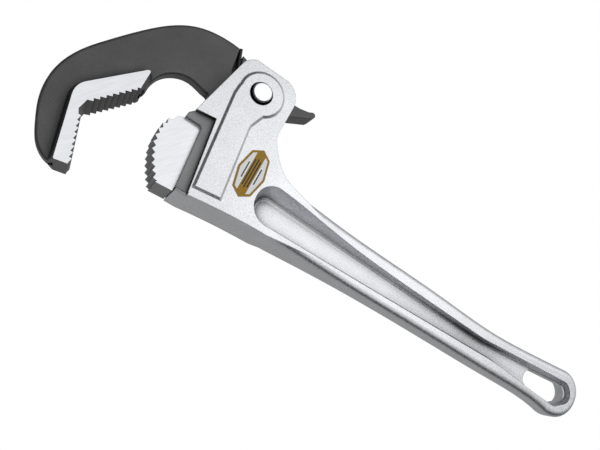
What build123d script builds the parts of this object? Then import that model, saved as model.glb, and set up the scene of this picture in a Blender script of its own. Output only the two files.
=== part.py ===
from build123d import *
import os
from math import cos, radians, sin

# A spring-loaded pipe wrench of the 18 inch size, lying on its back face.
#
# Drawing coordinates, in millimetres: the pivot pin's axis is x = y = 0 and the middle of the
# wrench's thickness is z = 0. +X runs along the handle to its end, and the front face looks
# along +Z. Every piece is drawn there, and place() moves it all so that the origin is under
# the middle of the whole wrench, on the surface that it lies on.

# Thickness direction: half of each thickness, measured from the middle plane.
EAR_OUTER = 20.5
EAR_INNER = 14.0
PANEL_RISE = 1.4
JAW_GROUND = 13.8
HOOK_PLATE = 5.0
HUB = 13.0
LEVER_FRONT = 5.5
LEVER_BACK = -8.5
HEEL_BODY = 17.0
WEB = 2.5
THROUGH = 40.0

# The cast handle's half thickness along its length, as (x, half thickness).
TAPER_POINTS = [(34.0, EAR_OUTER), (97.0, 13.8), (195.0, 10.0), (352.0, 7.8)]
TAPER_TANGENTS = [(1, 0), (1, -0.012)]
SLAB_LEFT = -60.0
SLAB_HALF_WIDTH = 150.0

# The head's front outline.
EAR_LEFT_BOTTOM = (-30.0, -34.9)
EAR_LEFT_TOP = (-20.3, 12.6)
EAR_TOP = 19.7
EAR_CORNER_LEFT = [EAR_LEFT_TOP, (-17.3, 17.0), (-13.4, EAR_TOP)]
EAR_CORNER_RIGHT = [(11.6, EAR_TOP + 0.5), (20.2, 15.4), (23.6, 6.6)]
EAR_WAIST = [(23.6, -15.5), (27.6, -25.6), (37.0, -36.2), (52.0, -42.8)]
HEAD_INSIDE = [(88.0, -49.0), (96.0, -60.0), (92.0, -74.0)]
HEEL_NOTCH = [EAR_LEFT_BOTTOM, (-16.2, -32.8), (-7.5, -84.9)]
LIP_END = -15.0
LIP_BEVEL = [(-84.4, 17.4), (-84.4, 40.0), (-95.0, 40.0), (-95.0, 11.0), (-86.8, 13.0)]
LIP_REACH = 12.0
LIP_OVERCUT = 0.4
HEAD_BOTTOM = [(-15.0, -86.3), (-6.7, -86.1), (15.5, -83.3), (50.0, -80.9)]

# The handle's outline: upper edge from the head outward, then the lower edge back.
HANDLE_START = 26.0
HANDLE_START_TOP = -43.5
HANDLE_START_LOW = -82.0
HANDLE_UPPER = [(110.0, -43.5), (190.0, -43.7), (250.0, -44.8), (296.0, -40.8), (327.5, -37.2)]
HANDLE_END = (346.0, -52.0)
HANDLE_LOWER = [(319.0, -76.9), (262.0, -75.3), (205.0, -76.3), (60.0, -80.6)]
FLANGE_ROUND = 4.6

# The recess in each side of the handle, drawn where it meets the web.
RECESS = [
    (35.9, -53.2), (240.0, -56.4), (331.4, -48.0), (339.8, -57.6), (324.6, -68.2), (256.0, -64.0),
    (35.6, -71.6),
]
RECESS_RADII = [8.0, 150.0, 7.0, 7.0, 7.0, 150.0, 9.0]
RECESS_DRAFT = 15.0
RECESS_HEIGHT = 26.0
RECESS_FOOT_ROUND = 2.6
HANG_HOLE = [(292.2, -53.0), (330.4, -48.9), (338.8, -58.0), (324.4, -67.4), (292.2, -65.9)]
HANG_HOLE_RADII = [6.2, 6.5, 6.5, 6.5, 6.2]

# The slot between the two ears, which the hook jaw's shank swings in. The hook's lower edge
# rests on its floor while the jaws are closed.
SLOT_FLOOR = -17.4
SLOT_LEFT = -45.0
SLOT_RIGHT = 50.0
SLOT_TOP = 40.0
STOP_LEDGE_LEFT = 18.6
STOP_LEDGE_TOP = -12.4

# The raised panel on each face: a disc round the pin and a strip beside the heel jaw.
PANEL_CENTRE = (0.9, -0.1)
PANEL_RADIUS = 17.2
PANEL_STRIP = [
    (-16.5, -2.0), (-16.9, -10.2), (-8.1, -81.8), (13.8, -78.9), (6.5, -24.5), (14.0, -5.0),
]
PANEL_STRIP_RADII = [0.5, 1.0, 1.0, 1.0, 9.0, 1.0]
PANEL_SLOPE = 53.0
PANEL_SUNK = 0.6

# The front face is countersunk round the pin.
COUNTERSINK = 1.3

# The pivot.
PIN_RADIUS = 6.75
PIN_BORE_RADIUS = 6.8
PIN_FRONT = 24.7
PIN_BACK = -24.3
PIN_CHAMFER = 0.7
RING_Z = -23.0
RING_THICKNESS = 1.1
RING_OUTER = 9.0
RING_GROOVE_RADIUS = 5.9
RING_MOUTH = (8.0, 15.0)
WASHER_OUTER = 12.4
WASHER_INNER = 7.0
WASHER_THICKNESS = 0.9

# The hook jaw is a plate whose outer edge runs from the shoulder over the back to the tip.
HOOK_BACK = [
    (-27.1, 28.7), (-42.7, 27.8), (-57.8, 23.1), (-69.0, 15.5), (-83.0, 0.0), (-98.9, -22.9),
    (-106.3, -35.0), (-112.9, -53.5), (-113.3, -67.3), (-110.2, -80.5), (-104.4, -92.8),
    (-98.6, -102.0), (-92.3, -107.3), (-86.5, -109.6),
]
HOOK_UNDER_PAD = [(-79.0, -105.0), (-90.5, -78.0), (-91.0, -73.0), (-66.3, -37.7)]
HOOK_THROAT = [
    (-62.6, -38.8), (-62.2, -30.0), (-59.9, -22.9), (-54.4, -16.6), (-48.5, -13.4), (-41.1, -12.5),
    (-34.4, -13.7), (-28.1, -14.4),
]
HOOK_REST_EDGE = [(-23.0, -17.0), (0.0, -17.0)]
HOOK_NECK_TOP = [
    (0.0, 16.9), (-6.0, 20.5), (-17.9, 23.7), (-22.1, 24.7), (-19.9, 18.4), (-20.5, 17.2), (-25.1, 28.4),
]
BACK_ROUND = 2.0
THROAT_ROUND = 1.5

# Its jaw is a pad on each side of the plate, ground flat, with drafted walls and a row of teeth
# on each side of the V.
PAD_TOP = [(-65.6, -26.2), (-97.3, -62.6), (-83.2, -108.9), (-60.0, -103.8), (-45.0, -60.0), (-65.1, -41.0)]
PAD_RADII = [1.2, 12.0, 1.2, 0.8, 0.8, 0.8]
PAD_DRAFT = 16.0
PAD_ROOT = 3.6
TIP_END = [(-74.6, -107.0), (-83.2, -108.9), (-130.0, -119.2)]
PAD_FAR = (-130.0, -10.0)
UPPER_TEETH_START = (-64.3, -39.3)
UPPER_TEETH_END = (-86.4, -67.2)
UPPER_TEETH_LINE_END = (-52.2, -24.0)
V_CORNER = (-87.6, -74.6)
LOWER_TEETH_START = (-85.9, -77.6)
LOWER_TEETH_END = (-75.0, -106.6)
HOOK_TOOTH_DEPTH = 1.75
HOOK_TOOTH_LEAN = 0.8
UPPER_TOOTH_COUNT = 9
LOWER_TOOTH_COUNT = 8

# Its hub, with the seat of the return spring round the front boss and a groove for the leg.
HUB_RADIUS = 17.0
HUB_FRONT_RADIUS = 12.5
SPRING_SEAT_RADIUS = 15.6
SPRING_SEAT = 2.4
LEG_GROOVE = [
    (-27.4, 32.0), (-23.9, 11.3), (-17.0, -3.0), (-14.6, -7.0), (-11.7, -4.3), (-19.9, 17.6), (-25.2, 32.0),
]

# The thumb lever, which is one piece with the hook jaw.
LEVER_OUTLINE = [
    (0.0, 15.8), (15.0, 15.4), (30.8, 16.8), (37.6, 18.6), (40.6, 20.4), (42.6, 19.9), (43.3, 17.8),
    (41.6, 15.2), (36.0, 12.0), (28.2, 7.4), (16.9, -1.8), (0.0, -10.0),
]
LEVER_ROUND = 1.2

# The heel jaw. Its toothed crown is one curve, and its unground body is an L round that.
HEEL_CROWN = [(-28.3, -88.4), (-38.9, -72.6), (-43.1, -56.0), (-40.4, -46.2)]
HEEL_CREST = [(-37.2, -43.4), (-35.0, -42.2), (-33.2, -41.7), (-32.9, -38.2)]
HEEL_SOLE = [(-15.9, -87.3), (-27.4, -88.2)]
HEEL_TOOTH_COUNT = 10
HEEL_TOOTH_DEPTH = 2.1
HEEL_GROUND_LEFT = -60.0
HEEL_GROUND_OVERRUN = 4.0
HEEL_GROUND_EDGE = [(-21.1, -41.6), (-15.4, -87.4)]
HEEL_GROUND_ROUND = 2.4
HEEL_GAP = 0.15
TONGUE_HALF = 8.0
TONGUE_BOX = (-20.0, 4.0, -78.0, -45.0)
HEEL_PIN_CENTRE = (-4.0, -61.5)
HEEL_PIN_RADIUS = 3.0
HEEL_PIN_BACK = -20.2
HEEL_PIN_FRONT = 12.0
HEEL_PIN_CHAMFER = 0.5

# The return spring: a torsion spring round the hub's front boss, behind the front ear.
WIRE_RADIUS = 1.1
COIL_RADIUS = 14.05
COIL_BACK = 3.7
COIL_PITCH = 2.35
COIL_TURNS = 3.55
LEG_ANGLE = 200.2
LEG_LENGTH = 35.9
TANG_END = 17.0
TANG_HOLE_RADIUS = 1.4
TANG_HOLE_END = 17.4

# The label on the front face, an octagon that is longer along Y.
LABEL_CENTRE = (20.7, -51.0)
LABEL_POINTS = [(0.0, 18.3), (6.8, 13.9), (10.0, 0.0), (6.8, -13.9)]
LABEL_THICKNESS = 0.3


def prism(face, low, high):
    """A flat face raised into a solid between two heights."""
    return extrude(Pos(0, 0, low) * face, high - low)


def polygon(points):
    return make_face(Polyline(*points, close=True))


def rounded_polygon(points, radii):
    """A closed outline with its own radius at each corner."""
    return make_face(FilletPolyline(*points, radius=radii, close=True))


def mirrored_pair(solid):
    """A cutter or boss on the front, and the same on the back."""
    return [solid, mirror(solid, about=Plane.XY)]


def thickness_slab():
    """Everything between the casting's front and back faces, which taper to the handle's end."""
    left = (SLAB_LEFT, EAR_OUTER)
    knee = TAPER_POINTS[0]
    right = TAPER_POINTS[-1]
    taper = Spline(*TAPER_POINTS, tangents=TAPER_TANGENTS)
    middle = Polyline(right, (right[0], 0), (left[0], 0), left)
    half = make_face([Line(left, knee), taper, middle])
    side = Plane((0, 0, 0), x_dir=(1, 0, 0), z_dir=(0, -1, 0))
    upper = extrude(side * half, SLAB_HALF_WIDTH, both=True)
    return upper + mirror(upper, about=Plane.XY)


def head_outline():
    """The ears and the solid part below them. Its right-hand corners end inside the handle."""
    left = Line(EAR_LEFT_BOTTOM, EAR_LEFT_TOP)
    corner_left = ThreePointArc(*EAR_CORNER_LEFT)
    top = Line(EAR_CORNER_LEFT[-1], EAR_CORNER_RIGHT[0])
    corner_right = ThreePointArc(*EAR_CORNER_RIGHT)
    right = Line(EAR_CORNER_RIGHT[-1], EAR_WAIST[0])
    waist = Spline(*EAR_WAIST, tangents=[(0, -1), (1, -0.2)])
    inside = Polyline(EAR_WAIST[-1], *HEAD_INSIDE, HEAD_BOTTOM[-1])
    bottom = Spline(*reversed(HEAD_BOTTOM[1:]))
    lip = [HEAD_BOTTOM[1], HEAD_BOTTOM[0], (LIP_END, HEEL_NOTCH[2][1])]
    foot = Polyline(*lip, *reversed(HEEL_NOTCH))
    return make_face([left, corner_left, top, corner_right, right, waist, inside, bottom, foot])


def handle_outline():
    """The I-beam grip, from inside the head to the rounded end."""
    top_left = (HANDLE_START, HANDLE_START_TOP)
    low_left = (HANDLE_START, HANDLE_START_LOW)
    upper = Spline(top_left, *HANDLE_UPPER)
    end_top = TangentArc(upper @ 1, HANDLE_END, tangent=upper % 1)
    end_low = TangentArc(end_top @ 1, HANDLE_LOWER[0], tangent=end_top % 1)
    lower = Spline(*HANDLE_LOWER, low_left, tangents=[end_low % 1, (-1, -0.04)])
    return make_face([Line(low_left, top_left), upper, end_top, end_low, lower])


def recess_cutter():
    """The tapered pocket on the front side of the handle's web."""
    face = rounded_polygon(RECESS, RECESS_RADII)
    solid = extrude(Pos(0, 0, WEB) * face, RECESS_HEIGHT, taper=-RECESS_DRAFT)
    foot = solid.edges().group_by(Axis.Z)[0]
    return fillet(foot, RECESS_FOOT_ROUND)


def panel():
    """The raised panel of the front face, with its sloping sides."""
    outline = Pos(*PANEL_CENTRE) * Circle(PANEL_RADIUS) + rounded_polygon(PANEL_STRIP, PANEL_STRIP_RADII)
    base = Pos(0, 0, EAR_OUTER - PANEL_SUNK) * outline
    return extrude(base, PANEL_RISE + PANEL_SUNK, taper=PANEL_SLOPE)


def slot_face():
    """The space between the ears, open at the top, the left and the upper right."""
    floor = [(SLOT_LEFT, SLOT_FLOOR), (STOP_LEDGE_LEFT, SLOT_FLOOR)]
    ledge = [(STOP_LEDGE_LEFT, STOP_LEDGE_TOP), (SLOT_RIGHT, STOP_LEDGE_TOP)]
    return polygon([(SLOT_LEFT, SLOT_TOP), *floor, *ledge, (SLOT_RIGHT, SLOT_TOP)])


def hang_hole():
    """The hole through the web at the handle's end, which takes up all the width of the recess."""
    return prism(rounded_polygon(HANG_HOLE, HANG_HOLE_RADII), -THROUGH, THROUGH)


def countersink():
    """A cone round the pin in the front panel's face."""
    face_z = EAR_OUTER + PANEL_RISE
    cone = Cone(PIN_BORE_RADIUS, PIN_BORE_RADIUS + COUNTERSINK, COUNTERSINK)
    return Pos(0, 0, face_z - COUNTERSINK / 2) * cone


def lip_bevel():
    """What the lip under the heel jaw lacks, against the head, at its front edge."""
    across = Plane.YZ * polygon(LIP_BEVEL)
    right = HEEL_NOTCH[2][0] + LIP_OVERCUT
    return extrude(Pos(right - LIP_REACH, 0, 0) * across, LIP_REACH)


def tongue(grow):
    """The heel jaw's tongue, or with grow above zero the pocket for it."""
    left, right, low, high = TONGUE_BOX
    x_right = right + grow
    face = polygon([(left, low - grow), (x_right, low - grow), (x_right, high + grow), (left, high + grow)])
    return prism(face, -TONGUE_HALF - grow, TONGUE_HALF + grow)


def heel_pin_circle():
    return Pos(*HEEL_PIN_CENTRE) * Circle(HEEL_PIN_RADIUS)


def tang_angle():
    return LEG_ANGLE + 360 * COIL_TURNS


def tang_hole():
    """The blind hole in the front ear's inner face that the spring's tang sits in."""
    angle = radians(tang_angle())
    face = Pos(COIL_RADIUS * cos(angle), COIL_RADIUS * sin(angle)) * Circle(TANG_HOLE_RADIUS)
    return prism(face, EAR_INNER - 1, TANG_HOLE_END)


def handle():
    """The aluminium casting: two ears, the head below them and the I-beam grip."""
    slab = thickness_slab()
    head = prism(head_outline(), -THROUGH, THROUGH) & slab
    grip = prism(handle_outline(), -THROUGH, THROUGH) & slab
    outer = [e for e in grip.edges() if e.center().X > HANDLE_START + 1]
    rims = [e for e in outer if abs(e.center().Z) > WEB]
    body = head + fillet(rims, FLANGE_ROUND)
    body -= lip_bevel()
    for cutter in mirrored_pair(recess_cutter()):
        body -= cutter
    for boss in mirrored_pair(panel()):
        body += boss
    body -= prism(slot_face(), -EAR_INNER, EAR_INNER)
    body -= prism(Circle(PIN_BORE_RADIUS), -THROUGH, THROUGH)
    body -= countersink()
    body -= hang_hole()
    body -= tongue(HEEL_GAP)
    body -= prism(heel_pin_circle(), -THROUGH, HEEL_PIN_FRONT)
    return body - tang_hole()


def tooth_row(start, end, count):
    """Saw teeth along a line: each root, then its tip, which is a short way past the root."""
    along = Vector(*end) - Vector(*start)
    step = along / count
    out = Vector(along.Y, -along.X).normalized() * HOOK_TOOTH_DEPTH
    points = []
    for n in range(count):
        root = Vector(*start) + step * n
        points += [root, root + step * HOOK_TOOTH_LEAN + out]
    return points + [Vector(*end)]


def hook_plate():
    """The plate that makes the hook, its neck and the web round the hub, with rounded edges."""
    back = Spline(*HOOK_BACK)
    under_pad = Polyline(HOOK_BACK[-1], *HOOK_UNDER_PAD, HOOK_THROAT[0])
    throat = Spline(*HOOK_THROAT)
    neck = Polyline(HOOK_THROAT[-1], *HOOK_REST_EDGE, *HOOK_NECK_TOP, HOOK_BACK[0])
    plate = prism(make_face([back, under_pad, throat, neck]), -HOOK_PLATE, HOOK_PLATE)
    curved = [e for e in plate.edges() if e.geom_type == GeomType.BSPLINE]
    longest = max(e.length for e in curved)
    back_edges = [e for e in curved if e.length > longest - 1]
    plate = fillet(back_edges, BACK_ROUND)
    rest = [e for e in plate.edges() if e.geom_type == GeomType.BSPLINE]
    throat_length = throat.length
    throat_edges = [e for e in rest if abs(e.length - throat_length) < 0.1]
    return fillet(throat_edges, THROAT_ROUND)


def jaw_reach():
    """Everything on the hook's side of its teeth."""
    lower = tooth_row(LOWER_TEETH_END, LOWER_TEETH_START, LOWER_TOOTH_COUNT)
    upper = tooth_row(UPPER_TEETH_END, UPPER_TEETH_START, UPPER_TOOTH_COUNT)
    tip = list(reversed(TIP_END))
    return polygon(tip + lower + [V_CORNER] + upper + [UPPER_TEETH_LINE_END, PAD_FAR])


def jaw_pads():
    """The ground pads with their drafted walls, and the core that carries the teeth."""
    top = rounded_polygon(PAD_TOP, PAD_RADII)
    wall = extrude(Pos(0, 0, -JAW_GROUND) * top, JAW_GROUND - PAD_ROOT, taper=-PAD_DRAFT)
    pads = prism(top, -JAW_GROUND, JAW_GROUND)
    for side in mirrored_pair(wall):
        pads += side
    return pads & prism(jaw_reach(), -JAW_GROUND, JAW_GROUND)


def hook_jaw():
    """Forged hook, shank, hub and thumb lever in one piece."""
    body = hook_plate() + jaw_pads()
    body += prism(Circle(HUB_RADIUS), -HUB, HOOK_PLATE)
    body += prism(Circle(HUB_FRONT_RADIUS), 0, HUB)
    body += prism(rounded_polygon(LEVER_OUTLINE, LEVER_ROUND), LEVER_BACK, LEVER_FRONT)
    seat = Circle(SPRING_SEAT_RADIUS) + polygon(LEG_GROOVE) - Circle(HUB_FRONT_RADIUS)
    body -= prism(seat, SPRING_SEAT, HUB)
    return body - prism(Circle(PIN_BORE_RADIUS), -THROUGH, THROUGH)


def heel_crown_points():
    """The toothed crown: roots and tips along one curve, from the foot up."""
    curve = Spline(*HEEL_CROWN)
    points = []
    for n in range(2 * HEEL_TOOTH_COUNT + 1):
        at = n / (2 * HEEL_TOOTH_COUNT)
        depth = HEEL_TOOTH_DEPTH if n % 2 == 0 else 0.0
        along = curve % at
        point = curve @ at + Vector(along.Y, -along.X) * depth
        points.append((point.X, point.Y))
    return points


def heel_outline():
    """The heel jaw's whole outline, with the space it leaves to the casting."""
    left_top = (EAR_LEFT_BOTTOM[0] - HEEL_GAP, EAR_LEFT_BOTTOM[1] - HEEL_GAP)
    right_top = (HEEL_NOTCH[1][0] - HEEL_GAP, HEEL_NOTCH[1][1] - HEEL_GAP)
    right_low = (HEEL_NOTCH[2][0] - HEEL_GAP, HEEL_NOTCH[2][1] + HEEL_GAP)
    foot = [left_top, right_top, right_low, (HEEL_SOLE[0][0], right_low[1]), *HEEL_SOLE]
    return polygon(heel_crown_points() + HEEL_CREST + foot)


def heel_ground_face():
    """Where the heel jaw is ground down to the hook's thickness."""
    (edge_x, edge_y), (foot_x, foot_y) = HEEL_GROUND_EDGE
    slope = (foot_x - edge_x) / (foot_y - edge_y)
    low = (foot_x - HEEL_GROUND_OVERRUN * slope, foot_y - HEEL_GROUND_OVERRUN)
    corners = [(HEEL_GROUND_LEFT, edge_y), (edge_x, edge_y), low, (HEEL_GROUND_LEFT, low[1])]
    return rounded_polygon(corners, [0.5, HEEL_GROUND_ROUND, 0.5, 0.5])


def heel_jaw():
    """Forged heel jaw: ground toothed crown, unground body in the ears' notch, and a tongue."""
    body = prism(heel_outline(), -HEEL_BODY, HEEL_BODY)
    for cutter in mirrored_pair(prism(heel_ground_face(), JAW_GROUND, THROUGH)):
        body -= cutter
    body += tongue(0.0)
    return body - prism(heel_pin_circle(), -THROUGH, THROUGH)


def heel_jaw_pin():
    """A solid pin driven in from the back, which holds the heel jaw's tongue."""
    pin = prism(heel_pin_circle(), HEEL_PIN_BACK, HEEL_PIN_FRONT)
    return chamfer(pin.edges().filter_by(GeomType.CIRCLE), HEEL_PIN_CHAMFER)


def pivot_pin():
    pin = prism(Circle(PIN_RADIUS), PIN_BACK, PIN_FRONT)
    pin = chamfer(pin.edges().filter_by(GeomType.CIRCLE), PIN_CHAMFER)
    groove = Circle(PIN_RADIUS + 1) - Circle(RING_GROOVE_RADIUS)
    return pin - prism(groove, RING_Z, RING_Z + RING_THICKNESS)


def pivot_pin_ring():
    """An open retaining ring in the pin's groove, on the back face."""
    ring = Circle(RING_OUTER) - Circle(RING_GROOVE_RADIUS)
    mouth = Pos(0, -RING_OUTER) * Rectangle(*RING_MOUTH)
    return prism(ring - mouth, RING_Z, RING_Z + RING_THICKNESS)


def thrust_washer(low):
    return prism(Circle(WASHER_OUTER) - Circle(WASHER_INNER), low, low + WASHER_THICKNESS)


def return_spring():
    """Torsion spring: a leg up the hook's shoulder, the coil, and a tang into the front ear."""
    path = Helix(COIL_PITCH, COIL_PITCH * COIL_TURNS, COIL_RADIUS)
    start = path @ 0
    top = path @ 1
    section = Plane(start, z_dir=path % 0) * Circle(WIRE_RADIUS)
    coil = sweep(section, path, is_frenet=True)
    from_base = (Align.CENTER, Align.CENTER, Align.MIN)
    leg = Pos(start) * Rot(90, 0, 0) * Cylinder(WIRE_RADIUS, LEG_LENGTH, align=from_base)
    tang = Pos(top) * Cylinder(WIRE_RADIUS, TANG_END - COIL_BACK - top.Z, align=from_base)
    bends = [Pos(start) * Sphere(WIRE_RADIUS), Pos(top) * Sphere(WIRE_RADIUS)]
    wire = coil + leg + bends[0] + tang + bends[1]
    return Pos(0, 0, COIL_BACK) * Rot(0, 0, LEG_ANGLE) * wire


def front_label():
    """A thin octagonal plate on the front ear."""
    left = [(-x, -y) for x, y in LABEL_POINTS]
    face = polygon(LABEL_POINTS + left)
    return prism(Pos(*LABEL_CENTRE) * face, EAR_OUTER, EAR_OUTER + LABEL_THICKNESS)


def build():
    return {
        "handle": handle(),
        "hook_jaw": hook_jaw(),
        "heel_jaw": heel_jaw(),
        "heel_jaw_pin": heel_jaw_pin(),
        "pivot_pin": pivot_pin(),
        "pivot_pin_ring": pivot_pin_ring(),
        "thrust_washer_front": thrust_washer(HUB),
        "thrust_washer_back": thrust_washer(-HUB - WASHER_THICKNESS),
        "return_spring": return_spring(),
        "front_label": front_label(),
    }


def place(parts):
    """Moves everything so that the origin is under the middle of the whole wrench."""
    boxes = [part.bounding_box() for part in parts.values()]
    low = [min(getattr(box.min, axis) for box in boxes) for axis in "XYZ"]
    high = [max(getattr(box.max, axis) for box in boxes) for axis in "XYZ"]
    shift = (-(low[0] + high[0]) / 2, -(low[1] + high[1]) / 2, -low[2])
    print("pivot axis at", [round(v, 3) for v in shift])
    print("overall size", [round(b - a, 2) for a, b in zip(low, high)])
    return {name: Pos(*shift) * part for name, part in parts.items()}


os.makedirs("parts", exist_ok=True)
for name, part in place(build()).items():
    export_step(Compound(part.solids()), f"parts/{name}.step")
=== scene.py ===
from math import radians

import bpy
from mathutils import Euler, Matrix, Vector


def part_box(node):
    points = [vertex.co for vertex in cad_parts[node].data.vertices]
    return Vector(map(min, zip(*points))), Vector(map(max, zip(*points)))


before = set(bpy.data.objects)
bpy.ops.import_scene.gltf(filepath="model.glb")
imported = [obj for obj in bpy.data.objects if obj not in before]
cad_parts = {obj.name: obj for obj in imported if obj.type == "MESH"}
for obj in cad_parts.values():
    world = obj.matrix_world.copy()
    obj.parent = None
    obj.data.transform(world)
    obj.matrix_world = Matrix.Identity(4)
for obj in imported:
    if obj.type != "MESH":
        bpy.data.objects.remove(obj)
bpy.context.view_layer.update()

MM = 0.001

# Everything is placed from the pivot: the pin's axis, at the middle of the wrench's thickness.
pin_low, pin_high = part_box("pivot_pin")
cast_low, cast_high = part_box("handle")
pin_middle = (pin_low + pin_high) / 2
PIVOT = Vector((pin_middle.x, pin_middle.y, (cast_low.z + cast_high.z) / 2))

# The camera, given from the pivot: it stands over the open side of the jaws and leans to see
# the handle's lower edge.
CAMERA_FROM_PIVOT = Vector((-40.62, -194.11, 379.10)) * MM
CAMERA_TURN = (9.462, -23.541, 28.323)
CAMERA_LENS = 36.0
CAMERA_SENSOR = 36.0

# The studio: how its light grows with height, as (low, high, dark, bright), then the side that
# the lamps stand on and how they glow there, and how much light the floor sends back up.
SKY_RISE = (0.55, 0.93, 0.02, 1.12)
LAMP_SIDE = Vector((0.62, 0.66, 0.42)).normalized()
LAMP_GLOW = (0.6, 0.98, 0.0, 0.7)
FLOOR_LIGHT = 0.38
FLOOR_SIZE = 12.0
FLOOR_DROP = 0.2 * MM

# The soft key light, a square panel: where it stands and points, its side and its power.
KEY_PLACE = Vector((0.9, 1.0, 1.6))
KEY_TARGET = Vector((-0.05, 0.0, 0.0))
KEY_SIDE = 1.4
KEY_POWER = 5.0

# The two faces of each jaw that are ground bright: how far they lie from the middle plane,
# which is where the hook jaw is thickest.
hook_low, hook_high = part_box("hook_jaw")
GROUND_FACE = (hook_high.z - hook_low.z) / 2
GROUND_TOLERANCE = 0.12 * MM
GRINDING_ANGLE = 35

# The label's print, measured out from its centre. The white fields end at the octagon's flanks
# and points, whose slopes are given, and at the gold band. A bar is its place across and half its
# length.
LABEL_FLANK = 8.6 * MM
LABEL_FLANK_SLOPE = 0.23
LABEL_POINT = 16.6 * MM
LABEL_POINT_SLOPE = 0.65
LABEL_BAND = 3.2 * MM
LABEL_BAR_HALF = 0.42 * MM
LABEL_BARS = [(0.0, 11 * MM), (1.9 * MM, 10 * MM), (4.8 * MM, 6 * MM)]
DARK_GOLD = (0.34, 0.19, 0.015, 1)
BRIGHT_GOLD = (0.42, 0.25, 0.025, 1)


class Tree:
    """A material's nodes, with short calls to add and join them."""

    def __init__(self, name):
        self.material = bpy.data.materials.new(name)
        self.material.use_nodes = True
        self.nodes = self.material.node_tree.nodes
        self.nodes.clear()
        self.output = self.nodes.new("ShaderNodeOutputMaterial")

    def add(self, kind, settings=None, **inputs):
        """A shader node, with its properties from settings and its sockets' values by name."""
        node = self.nodes.new("ShaderNode" + kind)
        for key, value in (settings or {}).items():
            setattr(node, key, value)
        for key, value in inputs.items():
            self.feed(node.inputs[key.replace("_", " ")], value)
        return node

    def feed(self, socket, value):
        if isinstance(value, bpy.types.NodeSocket):
            self.material.node_tree.links.new(value, socket)
        else:
            socket.default_value = value

    def math(self, operation, first, second=0.0, third=0.0):
        node = self.add("Math", {"operation": operation})
        for socket, value in zip(node.inputs, (first, second, third)):
            self.feed(socket, value)
        return node.outputs[0]

    def mix(self, factor, first, second):
        """Mixes two colours."""
        node = self.add("Mix", {"data_type": "RGBA"})
        self.feed(node.inputs[0], factor)
        self.feed(node.inputs[6], first)
        self.feed(node.inputs[7], second)
        return node.outputs[2]

    def span(self, value, low, high, to_low=0.0, to_high=1.0):
        """Maps a value from one range to another, with a smooth start and end."""
        node = self.add("MapRange", {"interpolation_type": "SMOOTHSTEP"})
        for socket, number in zip(node.inputs, (value, low, high, to_low, to_high)):
            self.feed(socket, number)
        return node.outputs[0]

    def place(self):
        """Where a point is in the row frame, in metres. Every piece's object sits at the origin."""
        return self.add("TexCoord").outputs["Object"]

    def noise(self, size, detail=2.0, roughness=0.5, stretch=(1.0, 1.0, 1.0), where=None):
        """Noise with features about one size across, in metres."""
        mapping = self.add("Mapping", Vector=where or self.place())
        mapping.inputs["Scale"].default_value = stretch
        settings = {"Scale": 1.0 / size, "Detail": detail, "Roughness": roughness}
        return self.add("TexNoise", Vector=mapping.outputs[0], **settings).outputs["Fac"]

    def rounded(self, radius):
        """The surface's normal, with every sharp edge rounded off."""
        return self.add("Bevel", {"samples": 6}, Radius=radius).outputs[0]

    def bump(self, height, distance, normal, strength=1.0):
        node = self.add("Bump", Strength=strength, Distance=distance, Height=height, Normal=normal)
        return node.outputs[0]

    def painted_corner_shade(self, reach, depth, closed=0.4, clear=1.0):
        """Painted shade: 1 on open surfaces, falling by the shade depth in corners and beside walls within
        a reach, so that it darkens a colour there.
        closed and clear are the shares of open space at which the fall ends and starts."""
        node = self.add("AmbientOcclusion", {"samples": 12}, Distance=reach)
        return self.span(node.outputs["AO"], closed, clear, 1.0 - depth, 1.0)

    def dim(self, colour, factor):
        """A colour made darker by a factor."""
        return self.mix(factor, (0.0, 0.0, 0.0, 1.0), colour)

    def mottle(self, grain, cloud, cloud_share):
        """Fine grain with a share of broad clouds in it."""
        return self.math("MULTIPLY_ADD", cloud, cloud_share, self.math("MULTIPLY", grain, 1 - cloud_share))

    def shader(self, **inputs):
        return self.add("BsdfPrincipled", **inputs).outputs[0]

    def finish(self, shader):
        self.feed(self.output.inputs["Surface"], shader)
        return self.material


def grey(value):
    """A very slightly cool grey."""
    return (0.985 * value, value, 1.03 * value, 1.0)


def cast_aluminium():
    """Shot-blasted aluminium: a fine even sparkle, with painted shade darkening its corners and recess
    walls.
    """
    tree = Tree("cast_aluminium")
    grain = tree.noise(1.0 * MM, detail=2.0, roughness=0.8)
    cloud = tree.noise(20 * MM, detail=3.0)
    shade = tree.mottle(grain, cloud, cloud_share=0.15)
    colour = tree.mix(tree.span(shade, low=0.32, high=0.68), grey(0.60), grey(0.84))
    # Painted shade: the colour is darkened in corners and beside walls, such as the recess walls.
    colour = tree.dim(colour, tree.painted_corner_shade(reach=13 * MM, depth=0.97, closed=0.5, clear=0.82))
    rough = tree.span(grain, low=0.3, high=0.7, to_low=0.3, to_high=0.42)
    normal = tree.bump(grain, distance=0.25 * MM, normal=tree.rounded(0.7 * MM), strength=0.3)
    return tree.finish(tree.shader(Base_Color=colour, Metallic=0.92, Roughness=rough, Normal=normal))


def ground_mask(tree):
    """1 on the two ground faces of a jaw and 0 elsewhere."""
    split = tree.add("SeparateXYZ", Vector=tree.place())
    from_middle = tree.math("ABSOLUTE", tree.math("SUBTRACT", split.outputs[2], PIVOT.z))
    off = tree.math("ABSOLUTE", tree.math("SUBTRACT", from_middle, GROUND_FACE))
    return tree.math("LESS_THAN", off, GROUND_TOLERANCE)


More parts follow.
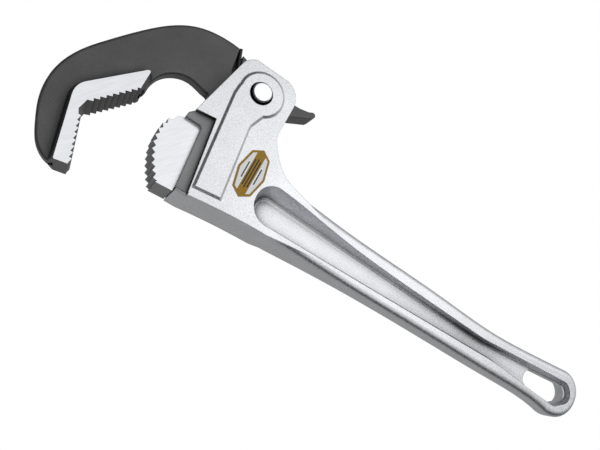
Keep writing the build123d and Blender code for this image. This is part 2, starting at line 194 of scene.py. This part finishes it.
def dark_forging(tree, low, high, roughness, gloss, depth):
    """The painted or scaled part of a forging: its grey from low to high, how rough and glossy it is, and
    how deep the shade painted into its corners goes."""
    grain = tree.noise(0.7 * MM, detail=3.0, roughness=0.6)
    cloud = tree.noise(18 * MM, detail=2.0)
    shade = tree.mottle(grain, cloud, cloud_share=0.4)
    # Painted shade: corners and the sides of walls get a darker colour and a weaker sheen.
    painted_shade_factor = tree.painted_corner_shade(reach=9 * MM, depth=depth)
    colour = tree.mix(tree.span(shade, low=0.3, high=0.7), grey(low), grey(high))
    colour = tree.dim(colour, painted_shade_factor)
    sheen = tree.math("MULTIPLY", painted_shade_factor, gloss)
    normal = tree.bump(grain, distance=0.25 * MM, normal=tree.rounded(1.5 * MM), strength=0.6)
    return tree.shader(
        Base_Color=colour, Metallic=0.0, Roughness=roughness, Specular_IOR_Level=sheen, Normal=normal)


def ground_steel(tree):
    """Bright steel with the fine slanting lines that a grinding wheel leaves."""
    turned = tree.add("Mapping", Vector=tree.place(), Rotation=(0, 0, radians(GRINDING_ANGLE)))
    lines = tree.noise(0.9 * MM, detail=3.0, stretch=(1.0, 0.07, 1.0), where=turned.outputs[0])
    colour = tree.mix(tree.span(lines, low=0.3, high=0.7), grey(0.74), grey(0.80))
    normal = tree.bump(lines, distance=0.03 * MM, normal=tree.rounded(0.25 * MM), strength=0.15)
    return tree.shader(Base_Color=colour, Metallic=1.0, Roughness=0.34, Normal=normal)


def jaw(name, **finish):
    """A jaw in its dark finish, ground bright on its two faces."""
    tree = Tree(name)
    both = tree.add("MixShader", Fac=ground_mask(tree))
    tree.feed(both.inputs[1], dark_forging(tree, **finish))
    tree.feed(both.inputs[2], ground_steel(tree))
    return tree.finish(both.outputs[0])


def turned_steel():
    """Bright turned steel for the pins and washers, darkened by painted shade in corners and beside walls.
    """
    tree = Tree("turned_steel")
    marks = tree.noise(0.7 * MM, detail=2.0)
    # Painted shade: the colour darkens in corners and beside walls, such as around the pin's foot.
    colour = tree.dim(tree.mix(marks, grey(0.76), grey(0.9)), tree.painted_corner_shade(reach=4 * MM, depth=0.7))
    normal = tree.bump(marks, distance=0.05 * MM, normal=tree.rounded(0.3 * MM), strength=0.3)
    return tree.finish(tree.shader(Base_Color=colour, Metallic=1.0, Roughness=0.28, Normal=normal))


def black_wire():
    """Spring wire with its black scale."""
    tree = Tree("black_wire")
    scale = tree.noise(1.2 * MM, detail=3.0)
    colour = tree.mix(scale, grey(0.012), grey(0.035))
    normal = tree.bump(scale, distance=0.1 * MM, normal=tree.rounded(0.2 * MM), strength=0.4)
    return tree.finish(tree.shader(Base_Color=colour, Metallic=0.3, Roughness=0.45, Normal=normal))


def between(tree, value, low, high):
    """1 where a value lies between two others, and 0 elsewhere."""
    above = tree.math("GREATER_THAN", value, low)
    return tree.math("MULTIPLY", above, tree.math("LESS_THAN", value, high))


def label():
    """A foil label: gold border and band, a white field on each side and plain bars for print."""
    tree = Tree("label")
    low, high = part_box("front_label")
    middle = (low + high) / 2
    split = tree.add("SeparateXYZ", Vector=tree.place())
    across = tree.math("ABSOLUTE", tree.math("SUBTRACT", split.outputs[0], middle.x))
    along = tree.math("SUBTRACT", split.outputs[1], middle.y)
    lengthways = tree.math("ABSOLUTE", along)
    flank = tree.math("MULTIPLY_ADD", lengthways, LABEL_FLANK_SLOPE, across)
    point = tree.math("MULTIPLY_ADD", across, LABEL_POINT_SLOPE, lengthways)
    within_flanks = tree.math("LESS_THAN", flank, LABEL_FLANK)
    within_points = tree.math("LESS_THAN", point, LABEL_POINT)
    inside = tree.math("MULTIPLY", within_flanks, within_points)
    field = tree.math("MULTIPLY", inside, tree.math("GREATER_THAN", across, LABEL_BAND))
    gold = tree.mix(tree.noise(1.5 * MM), DARK_GOLD, BRIGHT_GOLD)
    colour = tree.mix(field, gold, grey(0.95))
    for place, half_length in LABEL_BARS:
        bar = between(tree, across, place - LABEL_BAR_HALF, place + LABEL_BAR_HALF)
        bar = tree.math("MULTIPLY", bar, between(tree, along, -half_length, half_length))
        colour = tree.mix(bar, colour, grey(0.03))
    return tree.finish(tree.shader(Base_Color=colour, Roughness=0.5, Specular_IOR_Level=0.25))


def paint_nodes():
    """Gives every node of the frame its material: bright steel, where it has none of its own."""
    finishes = {
        "handle": cast_aluminium(),
        # The last number for each jaw sets how dark the shade painted into its corners gets.
        "hook_jaw": jaw("hook_paint", low=0.01, high=0.048, roughness=0.4, gloss=0.95, depth=0.95),
        "heel_jaw": jaw("heel_forging", low=0.20, high=0.30, roughness=0.42, gloss=0.9, depth=0.6),
        "return_spring": black_wire(),
        "front_label": label(),
    }
    steel = turned_steel()
    for name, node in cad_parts.items():
        node.data.materials.clear()
        node.data.materials.append(finishes.get(name, steel))


def make_floor():
    """A plane that looks white without a shadow, and sends little light back up."""
    bpy.ops.mesh.primitive_plane_add(size=FLOOR_SIZE, location=(0, 0, -FLOOR_DROP))
    floor = bpy.context.object
    floor.name = "floor"
    tree = Tree("floor")
    seen = tree.add("LightPath").outputs["Is Camera Ray"]
    strength = tree.span(seen, 0.0, 1.0, FLOOR_LIGHT, 1.0)
    floor.data.materials.append(tree.finish(tree.add("Emission", Strength=strength).outputs[0]))


def make_key_light():
    data = bpy.data.lights.new("key", "AREA")
    data.shape = "SQUARE"
    data.size = KEY_SIDE
    data.energy = KEY_POWER
    light = bpy.data.objects.new("key", data)
    light.location = KEY_PLACE
    light.rotation_euler = (KEY_TARGET - KEY_PLACE).to_track_quat("-Z", "Y").to_euler()
    bpy.context.scene.collection.objects.link(light)


def make_world():
    """A studio that looks white to the camera. The light that it gives is bright overhead and dark
    towards the horizon, except on the side that the lamps stand on."""
    world = bpy.data.worlds.new("studio")
    bpy.context.scene.world = world
    world.use_nodes = True
    nodes, links = world.node_tree.nodes, world.node_tree.links
    nodes.clear()

    def add(kind, settings, *values):
        node = nodes.new("ShaderNode" + kind)
        for key, value in settings.items():
            setattr(node, key, value)
        for socket, value in zip(node.inputs, values):
            if isinstance(value, bpy.types.NodeSocket):
                links.new(value, socket)
            else:
                socket.default_value = value
        return node.outputs

    way = add("TexCoord", {})["Generated"]
    height = add("SeparateXYZ", {}, way)["Z"]
    rise = add("MapRange", {"interpolation_type": "SMOOTHSTEP"}, height, *SKY_RISE)[0]
    side = add("VectorMath", {"operation": "DOT_PRODUCT"}, way, LAMP_SIDE)["Value"]
    glow = add("MapRange", {"interpolation_type": "SMOOTHSTEP"}, side, *LAMP_GLOW)[0]
    lit = add("Math", {"operation": "MAXIMUM"}, rise, glow)[0]
    seen = add("LightPath", {})["Is Camera Ray"]
    strength = add("Math", {"operation": "MAXIMUM"}, lit, seen)[0]
    light = add("Background", {}, (1.0, 1.0, 1.0, 1.0), strength)[0]
    output = nodes.new("ShaderNodeOutputWorld")
    links.new(light, output.inputs["Surface"])


def make_camera():
    data = bpy.data.cameras.new("camera")
    data.lens = CAMERA_LENS
    data.sensor_width = CAMERA_SENSOR
    data.clip_start = 0.01
    camera = bpy.data.objects.new("camera", data)
    camera.location = PIVOT + CAMERA_FROM_PIVOT
    camera.rotation_euler = Euler([radians(turn) for turn in CAMERA_TURN])
    bpy.context.scene.collection.objects.link(camera)
    bpy.context.scene.camera = camera


bpy.context.scene.view_settings.view_transform = "Standard"
paint_nodes()
make_floor()
make_world()
make_key_light()
make_camera()
